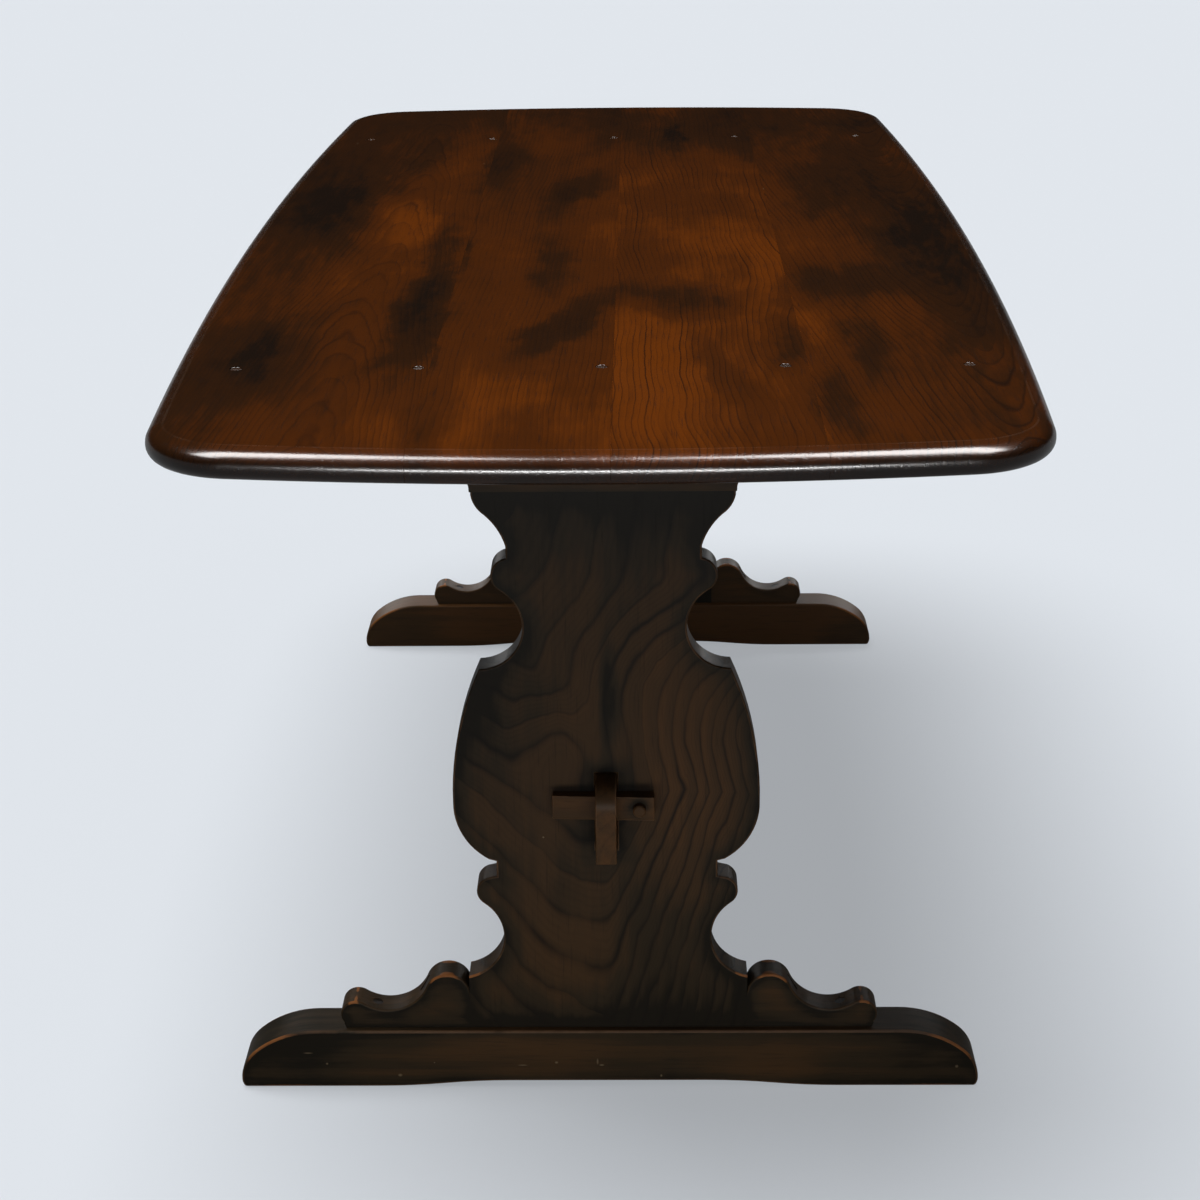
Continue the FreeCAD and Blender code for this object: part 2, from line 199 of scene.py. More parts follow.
# One soft-edged patch of stain or of painted shade, longer along the grain
def patchNodes(tree, take):
    place = aim(tree, "SUBTRACT", take["Vector"], take["Place"])
    turn = {"Vector": place, "Angle": take["Turn"]}
    turned = put(tree, "ShaderNodeVectorRotate", turn, rotation_type="Z_AXIS").outputs[0]
    x, y, _ = partsOf(tree, turned)
    across = calc(tree, "DIVIDE", x, take["Half Width"])
    along = calc(tree, "DIVIDE", y, take["Half Length"])
    reach = calc(tree, "SQRT", timesPlus(tree, across, across, times(tree, along, along)))
    return {"Patch": fade(tree, reach, 1.6, 0.2)}


# One soft spot in space, for wear on a crest or a small mark
def spotNodes(tree, take):
    place = aim(tree, "DIVIDE", aim(tree, "SUBTRACT", take["Vector"], take["Place"]), take["Size"])
    return {"Spot": fade(tree, lengthOf(tree, place), 1.0, 0.15)}


# Rubbing on the arrises, pale partly from real wear and partly as a painted highlight, crests worn to bare
# wood, and small nicks
def wearAndHighlightNodes(tree, take):
    rub = noise(tree, take["Vector"], 26.0, 3.0, 0.6)
    rubbed = times(tree, take["Arris"], fade(tree, rub, take["Rub Low"], take["Rub High"]))
    # The finish goes first along the fibres, so the bare wood is streaky
    fibre = noise(tree, aim(tree, "MULTIPLY", take["Vector"], (1.0, 0.12, 1.0)), 420.0, 3.0, 0.6)
    worn = calc(tree, "ADD", take["Crest"], timesPlus(tree, fibre, 0.9, -0.45))
    bare = times(tree, fade(tree, worn, 0.25, 0.75), fade(tree, take["Crest"], 0.0, 0.15))
    cells = put(tree, "ShaderNodeTexVoronoi", {"Vector": take["Vector"], "Scale": 34.0}).outputs
    near = calc(tree, "LESS_THAN", cells["Distance"], take["Nick Size"])
    pick = put(tree, "ShaderNodeSeparateColor", {0: cells["Color"]}).outputs[0]
    few = calc(tree, "GREATER_THAN", pick, 0.93)
    return {"Rubbed": rubbed, "Bare": bare, "Nicks": times(tree, near, few)}


ringGrain = shaderGroup("ringGrain", ringNodes, ("Heart", "Knot"), (
    "Lean", "Lean From", "Ring Spacing", "Taper", "Crowding", "Spread", "Spread From", "Spread To",
    "Knot Size", "Knot Lift", "Waviness", "Wave Scale", "Ripple", "Line Width",
))
poreStreaks = shaderGroup("poreStreaks", poreNodes)
stainClouds = shaderGroup("stainClouds", cloudNodes, floats=("Cloud Scale", "Cloud Low", "Cloud High"))
stainPatch = shaderGroup("stainPatch", patchNodes, ("Place",), ("Half Width", "Half Length", "Turn"))
softSpot = shaderGroup("softSpot", spotNodes, ("Place", "Size"))
wearMarks = shaderGroup(
    "wearMarks", wearAndHighlightNodes, floats=("Arris", "Crest", "Rub Low", "Rub High", "Nick Size"))


# Stained wood. The grain runs along X, Y or Z of the piece
grainTurns = {
    "X": (math.radians(90), 0, math.radians(90)),
    "Y": (0, 0, 0),
    "Z": (math.radians(-90), 0, 0),
}


# A patch of stain or of painted shade, deeper (+) or thinner (-). An even one has neither a wandering nor a
# feathered edge
def patchAt(x, y, halfWidth, halfLength, depth, turn=0, even=False):
    return {
        "place": (x, y, 0), "halfWidth": halfWidth, "halfLength": halfLength, "depth": depth,
        "turn": math.radians(turn), "even": even,
    }


def stainAndShadeTone(tree, grain, seeded, look, patches, rings, streaks):
    # How deep the stain is, from 0 to 1: clouds, fine streaks, rings, and the listed patches, some of which
    # are painted shade
    clouds = fill(tree, stainClouds, seeded, look)["Cloud"]
    tone = weighed(
        tree, look["depth"], (clouds, look["cloudShare"]), (streaks["Streak"], -look["streakShare"]),
        (rings["Ring"], look["ringShare"]),
    )
    if patches:
        # Patch edges wander and are feathered along the grain
        flat = aim(tree, "MULTIPLY", grain, (1, 1, 0))
        drift = wobble(tree, aim(tree, "MULTIPLY", flat, (1.0, 0.5, 1.0)), 15.0, 5.0, 0.62)
        wandering = aim(tree, "ADD", flat, aim(tree, "MULTIPLY", drift, look["patchWander"]))
        feather = noise(tree, aim(tree, "MULTIPLY", flat, (60.0, 14.0, 1.0)), 1.0, 5.0, 0.65)
        feather = timesPlus(tree, fade(tree, feather, 0.3, 0.7), 0.4, 0.75)
    for patch in patches:
        where = flat if patch["even"] else wandering
        mask = fill(tree, stainPatch, where, patch)["Patch"]
        mask = mask if patch["even"] else times(tree, mask, feather)
        tone = timesPlus(tree, mask, patch["depth"], tone)
    return tone


def spotMask(tree, where, spots):
    # All the soft spots of a piece together
    mask = 0.0
    for spot in spots:
        mask = calc(tree, "MAXIMUM", mask, fill(tree, softSpot, where, spot)["Spot"])
    return mask


def newMaterial(name):
    material = bpy.data.materials.new(name)
    material.use_nodes = True
    return material, material.node_tree, material.node_tree.nodes["Principled BSDF"]


def stainedWood(name, middle, look, patches=(), wear=None):
    material, tree, shader = newMaterial(name)
    where = put(tree, "ShaderNodeTexCoord").outputs["Object"]
    centred = aim(tree, "SUBTRACT", where, middle)
    turn = {"Vector": centred, "Rotation": grainTurns[look["grain"]]}
    grain = put(tree, "ShaderNodeMapping", turn).outputs[0]
    seed = Vector(look["seed"])
    seeded = aim(tree, "ADD", grain, seed)
    hearts = {name: Vector(look[name]) + seed for name in ("heart", "knot")}
    rings = fill(tree, ringGrain, seeded, {**look, **hearts})
    streaks = fill(tree, poreStreaks, seeded, look)
    # Worn spots are kept to the arris, or lie on a crest, or are small marks
    arris = attribute(tree, "arris")
    arrises, crests, scratches = (
        spotMask(tree, where, (wear or {}).get(kind, ())) for kind in ("arrises", "crests", "scratches")
    )
    worn = calc(tree, "MAXIMUM", times(tree, arris, arrises), crests)
    wearAndHighlight = fill(tree, wearMarks, seeded, {**look, "arris": arris, "crest": worn})
    nicks = calc(tree, "MAXIMUM", wearAndHighlight["Nicks"], scratches)
    tone = stainAndShadeTone(tree, grain, seeded, look, patches, rings, streaks)
    if look["underShare"]:
        # The moulded edge is darker the further it turns under
        under = fade(tree, partsOf(tree, centred)[2], 0.010, -0.008)
        tone = timesPlus(tree, under, look["underShare"], tone)
    if look["rimShare"]:
        # Stain and polish have built up near the outline
        broken = noise(tree, seeded, 30.0, 3.0, 0.6)
        rim = calc(tree, "POWER", attribute(tree, "rim"), 1.5)
        rim = times(tree, rim, calc(tree, "ADD", broken, 0.5))
        tone = timesPlus(tree, rim, look["rimShare"], tone)
    ramp = put(tree, "ShaderNodeValToRGB", {"Fac": tone})
    ramp.color_ramp.interpolation = "EASE"
    stops = ramp.color_ramp.elements
    for place, _ in look["stain"][1:-1]:
        stops.new(place)
    for stop, (place, colour) in zip(stops, look["stain"]):
        stop.position = place
        stop.color = colour
    colour = ramp.outputs["Color"]
    for mask, depth, paint in (
        (rings["Fine"], "fineDepth", "lineColour"),
        (rings["Line"], "lineDepth", "lineColour"),
        (streaks["Pores"], "poreDepth", "lineColour"),
        (wearAndHighlight["Rubbed"], "rubDepth", "rubbed"),
        (wearAndHighlight["Bare"], "bareDepth", "bare"),
        (nicks, "nickDepth", "scratched"),
    ):
        colour = blendColour(tree, times(tree, mask, look[depth]), colour, look[paint])
    tree.links.new(colour, shader.inputs["Base Color"])
    # Sheen varies a little and is duller in the pores and along the rubbing on the arrises
    haze = noise(tree, seeded, 14.0, 3.0, 0.6)
    rough = weighed(
        tree, look["roughness"], (haze, look["hazeShare"]), (streaks["Pores"], look["poreDulls"]),
        (wearAndHighlight["Rubbed"], look["rubDulls"]),
    )
    tree.links.new(rough, shader.inputs["Roughness"])
    shader.inputs["Specular IOR Level"].default_value = look["specular"]
    dents = noise(tree, seeded, 38.0, 2.0, 0.5)
    relief = weighed(
        tree, 0.0, (dents, look["dentRelief"]), (streaks["Pores"], -look["poreRelief"]),
        (nicks, -look["nickRelief"]),
    )
    raised = {"Height": relief, "Distance": look["relief"], "Strength": look["bump"]}
    tree.links.new(put(tree, "ShaderNodeBump", raised).outputs[0], shader.inputs["Normal"])
    return material


# Mesh helpers
meshLimits = {
    "same": 2e-5,
    "cut": 1e-6,
    "flat": 0.9999,
    "coplanar": math.radians(0.6),
    "sharp": math.radians(32),
    "smooth": math.radians(36),
    "boardSmooth": math.radians(30),
    "easeSteps": 3,
}
rimGrid = {
    "stepsPerReach": 2.2,
    "outlineStep": 0.002,
    "elsewhere": 0.2,
}


def newObject(name, data):
    thing = bpy.data.objects.new(name, data)
    bpy.context.scene.collection.objects.link(thing)
    return thing


def newPiece(name, work):
    # The worked mesh as an object of its own
    mesh = bpy.data.meshes.new(name)
    work.to_mesh(mesh)
    work.free()
    return newObject(name, mesh)


def baked(piece):
    # The piece with its modifiers worked in, as a plain mesh
    graph = bpy.context.evaluated_depsgraph_get()
    mesh = bpy.data.meshes.new_from_object(piece.evaluated_get(graph), depsgraph=graph)
    piece.modifiers.clear()
    piece.data = mesh
    return piece


def dress(piece, material, body, slot, *nodes):
    piece.data.materials.clear()
    piece.data.materials.append(material)
    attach(piece, body)
    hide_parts(*nodes)
    return piece


def middleOf(node):
    low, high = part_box(node)
    return (low + high) / 2


# Which edges are arrises: those of the outline on the front and back faces, between two heights
def outlineEdge(node, lowest, highest):
    sides = [corner.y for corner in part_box(node)]

    def picks(edge):
        ends = [vert.co for vert in edge.verts]
        flat = any(all(abs(end.y - side) < meshLimits["same"] for end in ends) for side in sides)
        return flat and all(lowest < end.z < highest for end in ends)

    return picks


# How near each point of the two flat faces is to their outline, for the stain. The faces are cut into
# a grid first, so that there are points enough
def markRim(work, node, mark, reach):
    low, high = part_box(node)
    rim = work.verts.layers.float.new("rim")
    step = reach / rimGrid["stepsPerReach"]

    def isFlat(face):
        return abs(face.normal.y) > meshLimits["flat"] and not face[mark]

    for axis in (0, 2):
        across = Vector((axis == 0, 0, axis == 2))
        for index in range(1, int((high[axis] - low[axis]) / step) + 1):
            faces = [face for face in work.faces if isFlat(face)]
            edges = {edge for face in faces for edge in face.edges}
            verts = {vert for face in faces for vert in face.verts}
            bmesh.ops.bisect_plane(
                work, geom=[*faces, *edges, *verts], dist=meshLimits["cut"],
                plane_co=across * (low[axis] + index * step), plane_no=across,
            )
    faces = [face for face in work.faces if isFlat(face)]
    inside = {vert for face in faces for vert in face.verts}
    outline = []
    for edge in {edge for face in faces for edge in face.edges}:
        if not all(isFlat(face) for face in edge.link_faces):
            first, last = (vert.co for vert in edge.verts)
            pieces = max(1, int((last - first).length / rimGrid["outlineStep"]))
            outline += [first.lerp(last, part / pieces) for part in range(pieces + 1)]
    nearest = kdtree.KDTree(len(outline))
    for index, place in enumerate(outline):
        nearest.insert(place, index)
    nearest.balance()
    for vert in work.verts:
        share = max(0.0, 1 - nearest.find(vert.co)[2] / reach)
        vert[rim] = share if vert in inside else rimGrid["elsewhere"]


def cornerNormals(work, mark):
    # Flat faces stay flat up to the arris, and the arris turns smoothly between its neighbours
    work.normal_update()
    normals = []
    for face in work.faces:
        for loop in face.loops:
            faces = loop.vert.link_faces
            near = [other for other in faces if other.normal.angle(face.normal, 0) < meshLimits["smooth"]]
            firm = [other for other in near if not other[mark]] or near
            normals.append(sum((other.normal for other in firm), Vector()).normalized())
    return normals


# Arrises eased by a small round, and marked so that the finish can be rubbed there
def easedCopy(node, ease, picks, rimReach=None):
    work = bmesh.new()
    work.from_mesh(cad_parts[node].data)
    bmesh.ops.remove_doubles(work, verts=work.verts, dist=meshLimits["same"])
    bmesh.ops.dissolve_limit(
        work, angle_limit=meshLimits["coplanar"], verts=work.verts, edges=work.edges)
    mark = work.faces.layers.float.new("arris")
    whole = [edge for edge in work.edges if edge.is_manifold]
    sharp = [edge for edge in whole if edge.calc_face_angle() > meshLimits["sharp"] and picks(edge)]
    made = bmesh.ops.bevel(
        work, geom=sharp, offset=ease, offset_type="OFFSET", segments=meshLimits["easeSteps"],
        profile=0.5, affect="EDGES", clamp_overlap=False,
    )
    for face in made["faces"]:
        face[mark] = 1.0
    work.normal_update()
    if rimReach:
        markRim(work, node, mark, rimReach)
    for face in work.faces:
        face.smooth = True
    normals = cornerNormals(work, mark)
    piece = newPiece(node + "_eased", work)
    piece.data.set_sharp_from_angle(angle=meshLimits["smooth"])
    piece.data.normals_split_custom_set(normals)
    return piece


# Top: four edge-glued boards with a moulded edge all round
topShape = {
    "sideBow": 0.029, "endBow": 0.034, "cornerRadius": 0.085,
    "slopeWidth": 0.015, "slopeDrop": 0.005,
    "noseRadius": 0.014, "underRadius": 0.011, "arrisRadius": 0.006,
    "support": 0.004, "jointEase": 0.0002,
    "sideSteps": 140, "endSteps": 72, "cornerSteps": 32,
    "arrisSteps": 4, "noseSteps": 12, "underSteps": 8,
}
boardNames = [f"top_board_{number}" for number in range(1, 5)]


def planArcs(halfWidth, halfLength, shape):
    # The plan's edge, counterclockwise: each arc's middle, start, end and number of steps
    sideRadius = (halfLength ** 2 + shape["sideBow"] ** 2) / (2 * shape["sideBow"])
    endRadius = (halfWidth ** 2 + shape["endBow"] ** 2) / (2 * shape["endBow"])
    sideMiddle = Vector((halfWidth - sideRadius, 0, 0))
    endMiddle = Vector((0, halfLength - endRadius, 0))
    sideGap = sideRadius - shape["cornerRadius"]
    endGap = endRadius - shape["cornerRadius"]
    between = endMiddle - sideMiddle
    along = (sideGap ** 2 - endGap ** 2 + between.length_squared) / (2 * between.length)
    across = math.sqrt(sideGap ** 2 - along ** 2)
    unit = between.normalized()
    cornerMiddle = sideMiddle + unit * along + Vector((-unit.y, unit.x, 0)) * across
    onSide = sideMiddle + (cornerMiddle - sideMiddle) * (sideRadius / sideGap)
    onEnd = endMiddle + (cornerMiddle - endMiddle) * (endRadius / endGap)
    flip = Matrix.Diagonal((-1, 1, 1))
    half = [
        (sideMiddle, Matrix.Diagonal((1, -1, 1)) @ onSide, onSide, shape["sideSteps"]),
        (cornerMiddle, onSide, onEnd, shape["cornerSteps"]),
        (endMiddle, onEnd, flip @ onEnd, shape["endSteps"]),
        (flip @ cornerMiddle, flip @ onEnd, flip @ onSide, shape["cornerSteps"]),
    ]
    return half + [(-middle, -start, -end, steps) for middle, start, end, steps in half]


def roundedCorner(before, corner, after, radius, steps):
    # Points of a round of this radius between two straight runs, in (inset, height)
    back = (before - corner).normalized()
    ahead = (after - corner).normalized()
    halfAngle = back.angle(ahead) / 2
    reach = radius / math.tan(halfAngle)
    middle = corner + (back + ahead).normalized() * (radius / math.sin(halfAngle))
    first = (corner + back * reach - middle).normalized()
    last = (corner + ahead * reach - middle).normalized()
    return [middle + first.slerp(last, step / steps) * radius for step in range(steps + 1)]


def edgeSection(low, high, shape):
    # The moulded edge from the field out over the nose and under, with the arris marked
    inner = Vector((shape["slopeWidth"] + 4 * shape["support"], high))
    arris = Vector((shape["slopeWidth"], high))
    nose = Vector((0, high - shape["slopeDrop"]))
    under = Vector((0, low))
    innerUnder = Vector((shape["underRadius"] + 2 * shape["support"], low))
    ridge = roundedCorner(inner, arris, nose, shape["arrisRadius"], shape["arrisSteps"])
    points = [Vector((ridge[0].x + shape["support"], high))] + ridge
    points += roundedCorner(arris, nose, under, shape["noseRadius"], shape["noseSteps"])
    points += roundedCorner(nose, under, innerUnder, shape["underRadius"], shape["underSteps"])
    points.append(innerUnder)
    return points, range(1, len(ridge))


def topSlab(low, high, shape):
    stations = []
    for middle, start, end, steps in planArcs(high.x, high.y, shape):
        sweep = (start - middle).to_2d().angle_signed((end - middle).to_2d())
        for step in range(steps):
            turn = Matrix.Rotation(-sweep * step / steps, 3, "Z")
            outward = turn @ (start - middle)
            stations.append((middle + outward, outward.normalized()))
    section, ridge = edgeSection(low.z, high.z, shape)
    work = bmesh.new()
    mark = work.faces.layers.float.new("arris")
    loops = []
    for place, outward in stations:
        loops.append([work.verts.new(place - outward * point.x + zAxis * point.y) for point in section])
    for here, there in zip(loops, loops[1:] + loops[:1]):
        for index in range(len(section) - 1):
            face = work.faces.new((here[index], here[index + 1], there[index + 1], there[index]))
            face[mark] = 1.0 if index in ridge else 0.0
    work.faces.new([loop[0] for loop in loops])
    work.faces.new([loop[-1] for loop in reversed(loops)])
    bmesh.ops.recalc_face_normals(work, faces=work.faces)
    for face in work.faces:
        face.smooth = True
    return work


def sliceBoard(slab, left, right, ease):
    # The part of the slab between two glue joints, its cut edges eased a little
    work = slab.copy()
    for x, outward in ((left, -1), (right, 1)):
        if x is None:
            continue
        cut = bmesh.ops.bisect_plane(
            work, geom=work.verts[:] + work.edges[:] + work.faces[:], dist=meshLimits["cut"],
            plane_co=(x, 0, 0), plane_no=(outward, 0, 0), clear_outer=True,
        )
        rim = [item for item in cut["geom_cut"] if isinstance(item, bmesh.types.BMEdge)]
        bmesh.ops.holes_fill(work, edges=rim, sides=0)
        bmesh.ops.bevel(
            work, geom=[edge for edge in rim if edge.is_valid], offset=ease, offset_type="OFFSET",
            segments=1, profile=0.5, affect="EDGES",
        )
    bmesh.ops.recalc_face_normals(work, faces=work.faces)
    return work


plugRow = {
    "count": 5, "sides": 40, "fit": 0.985, "ease": 0.0006,
    "tilt": 0.04, "seed": 7,
    "boreDepth": 0.013, "lip": 0.0007, "lipSteps": 5,
}


def plugPlaces(node):
    low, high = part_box(node)
    diameter = high.y - low.y
    pitch = (high.x - low.x - diameter) / (plugRow["count"] - 1)
    first = low.x + diameter / 2
    y = (low.y + high.y) / 2
    places = [Vector((first + pitch * index, y, high.z)) for index in range(plugRow["count"])]
    return diameter, pitch, places


def boreCutter(topHeight):
    # Round bores for the plugs, each with a worn, rounded lip, as one mesh to cut with
    work = bmesh.new()
    lip = plugRow["lip"]
    for node in ("near_top_plugs", "far_top_plugs"):
        diameter, _, places = plugPlaces(node)
        radius = diameter / 2
        section = [(radius, -plugRow["boreDepth"])]
        for step in range(plugRow["lipSteps"] + 1):
            angle = math.pi / 2 * step / plugRow["lipSteps"]
            section.append((radius + lip * (1 - math.cos(angle)), lip * (math.sin(angle) - 1)))
        section.append((radius + lip, plugRow["boreDepth"]))
        for place in places:
            rings = [[] for _ in section]
            for (reach, height), ring in zip(section, rings):
                for side in range(plugRow["sides"]):
                    angle = math.tau * side / plugRow["sides"]
                    around = Vector((math.cos(angle) * reach, math.sin(angle) * reach, height))
                    ring.append(work.verts.new(Vector((place.x, place.y, topHeight)) + around))
            for lower, upper in zip(rings, rings[1:]):
                for side in range(plugRow["sides"]):
                    work.faces.new((lower[side - 1], lower[side], upper[side], upper[side - 1]))
            work.faces.new(rings[0])
            work.faces.new(rings[-1])
    bmesh.ops.recalc_face_normals(work, faces=work.faces)
    return newPiece("bores", work)


boardLook = {
    "grain": "Y", "seed": (0.0, 0.0, 0.0),
    # Growth rings
    "heart": (0.0, 0.0, -0.03), "lean": 0.0, "leanFrom": 0.0, "ringSpacing": 0.0058, "taper": 0.03,
    "crowding": 1.0, "spread": 0.0, "spreadFrom": 0.0, "spreadTo": 1.0,
    "knot": (0.0, 0.0, 0.0), "knotSize": 0.04, "knotLift": 0.0,
    "waviness": 0.03, "waveScale": 5.0, "ripple": 0.003,
    "lineWidth": 0.42, "lineDepth": 0.50, "fineDepth": 0.0, "lineColour": (0.016, 0.0062, 0.0025, 1),
    "poreDepth": 0.45,
    # Depth of the stain and its colours from thin to deep
    "depth": 0.19, "streakShare": 0.09, "ringShare": 0.08, "underShare": 0.55, "rimShare": 0.0,
    "cloudScale": 5.0, "cloudLow": 0.36, "cloudHigh": 0.66, "cloudShare": 0.34,
    "patchWander": (0.07, 0.15, 0.0),
    "stain": (
        (0.0, (0.150, 0.0340, 0.0016, 1)),
        (0.32, (0.075, 0.0185, 0.0018, 1)),
        (0.65, (0.032, 0.0108, 0.0026, 1)),
        (1.0, (0.012, 0.0060, 0.0030, 1)),
    ),
    # Wear, and a pale line along the arris that is partly a painted highlight
    "rubbed": (0.32, 0.21, 0.13, 1), "rubLow": 0.30, "rubHigh": 0.62, "rubDepth": 0.03,
    "bare": (0.34, 0.12, 0.03, 1), "bareDepth": 0.7,
    "scratched": (0.26, 0.19, 0.11, 1), "nickSize": 0.045, "nickDepth": 0.5,
    # Sheen and relief
    "roughness": 0.17, "hazeShare": 0.08, "poreDulls": 0.06, "rubDulls": 0.08, "specular": 0.4,
    "poreRelief": 0.4, "dentRelief": 0.5, "nickRelief": 0.3, "relief": 0.0006, "bump": 0.22,
}
# How each board differs: where its heart lies, how its rings run, its seed and its depth of stain
boardChanges = [
    {
        "heart": (0.04, 0.0, -0.035), "seed": (1.3, 0.4, 0.2), "taper": -0.05, "ringSpacing": 0.0042,
        "lineDepth": 0.62, "depth": 0.18,
    },
    {
        "heart": (-0.13, 0.0, -0.05), "seed": (2.7, 1.9, 0.6), "taper": 0.02, "ringSpacing": 0.0044,
        "lineDepth": 0.58, "depth": 0.16,
    },
    {
        "heart": (0.15, 0.0, -0.05), "seed": (4.1, 3.3, 0.1), "taper": 0.02, "waviness": 0.05,
        "waveScale": 6.0, "ringSpacing": 0.0052, "lineDepth": 0.9, "depth": 0.07,
    },
    {
        "heart": (0.05, -0.64, -0.014), "seed": (5.9, 0.8, 0.9), "taper": 0.10, "waviness": 0.04,
        "ringSpacing": 0.0052, "lineDepth": 0.85, "depth": 0.20,
    },
]
# Patches of stain on the top, and how many half widths one can reach with its wandering edge
patchReach = 2.2
stainPatches = [
    patchAt(-0.37, -0.1, 0.10, 0.9, 0.34),
    patchAt(-0.33, 0.12, 0.06, 0.30, 0.16),
    patchAt(0.30, -0.60, 0.06, 0.25, 0.14),
    patchAt(0.38, 0.0, 0.09, 0.9, 0.38),
    patchAt(0.0, 0.78, 0.50, 0.30, 0.30),
    patchAt(0.22, 0.55, 0.10, 0.30, 0.20),
    patchAt(-0.37, -0.70, 0.07, 0.16, 0.22),
    patchAt(0.05, -0.55, 0.17, 0.34, -0.22),
    patchAt(-0.24, -0.36, 0.05, 0.19, -0.16),
    patchAt(-0.22, 0.10, 0.05, 0.18, -0.14),
    patchAt(-0.10, -0.25, 0.05, 0.34, -0.12),
    patchAt(-0.31, -0.51, 0.016, 0.12, 0.30),
    patchAt(-0.175, -0.45, 0.026, 0.20, 0.46),
    patchAt(-0.17, -0.11, 0.02, 0.20, 0.36),
    patchAt(-0.04, -0.44, 0.028, 0.13, 0.46, turn=18),
    patchAt(0.07, -0.32, 0.055, 0.075, 0.48, turn=-30),
    patchAt(-0.06, -0.16, 0.024, 0.13, 0.34),
    patchAt(-0.045, 0.2, 0.024, 0.14, 0.30, turn=10),
    patchAt(-0.24, 0.38, 0.035, 0.18, 0.24),
    patchAt(-0.30, 0.2, 0.035, 0.2, 0.18),
    patchAt(-0.14, 0.38, 0.026, 0.14, 0.36),
    patchAt(0.08, 0.56, 0.015, 0.10, 0.36),
    patchAt(0.26, 0.22, 0.055, 0.22, 0.42, turn=8),
    patchAt(0.24, -0.27, 0.055, 0.10, 0.38, turn=30),
    patchAt(0.17, -0.50, 0.017, 0.08, 0.34),
    patchAt(0.24, -0.49, 0.022, 0.13, 0.34),
    patchAt(0.20, -0.71, 0.022, 0.13, 0.34),
    patchAt(0.11, -0.61, 0.015, 0.12, 0.24, turn=-8),
    patchAt(-0.14, -0.72, 0.02, 0.11, 0.26),
    patchAt(0.34, -0.02, 0.05, 0.30, 0.28),
]


def patchesOn(node):
    # The patches that reach this board, set out from its middle
    low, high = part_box(node)
    middle = middleOf(node)
    near = []
    for patch in stainPatches:
        x, y, _ = patch["place"]
        sizes = (patch["halfWidth"], patch["halfLength"])
        reach = patchReach * (max(sizes) if patch["turn"] else sizes[0])
        if low.x < x + reach and x - reach < high.x:
            near.append({**patch, "place": (x - middle.x, y - middle.y, 0)})
    return near


def flattenNormals(mesh):
    # The boards' faces shade flat right up to joints, bores and the moulded edge
    normals = [corner.vector.copy() for corner in mesh.corner_normals]
    upright = {}
    for face in mesh.polygons:
        if abs(face.normal.z) > meshLimits["flat"]:
            outward = zAxis * math.copysign(1, face.normal.z)
            upright.update((vert, outward) for vert in face.vertices)
    for face in mesh.polygons:
        for vert, corner in zip(face.vertices, face.loop_indices):
            if vert in upright and face.normal.angle(upright[vert], 0) < meshLimits["boardSmooth"]:
                normals[corner] = upright[vert]
    mesh.normals_split_custom_set(normals)


def makeTop():
    lows, highs = zip(*[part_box(name) for name in boardNames])
    low = Vector(min(corner[axis] for corner in lows) for axis in range(3))
    high = Vector(max(corner[axis] for corner in highs) for axis in range(3))
    slab = topSlab(low, high, topShape)
    cutter = boreCutter(high.z)
    joints = [None] + [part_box(name)[1].x for name in boardNames[:-1]] + [None]
    boards = []
    for index, name in enumerate(boardNames):
        work = sliceBoard(slab, joints[index], joints[index + 1], topShape["jointEase"])
        board = newPiece(name + "_moulded", work)
        bores = board.modifiers.new("bores", "BOOLEAN")
        bores.operation = "DIFFERENCE"
        bores.solver = "EXACT"
        bores.object = cutter
        baked(board)
        board.data.set_sharp_from_angle(angle=meshLimits["boardSmooth"])
        flattenNormals(board.data)
        look = {**boardLook, **boardChanges[index]}
        material = stainedWood(f"topBoard{index + 1}Wood", middleOf(name), look, patchesOn(name))
        boards.append(dress(board, material, "table", "top_wood", name))
    slab.free()
    bpy.data.objects.remove(cutter)
    return boards


topBoards = makeTop()
print("top: four boards")


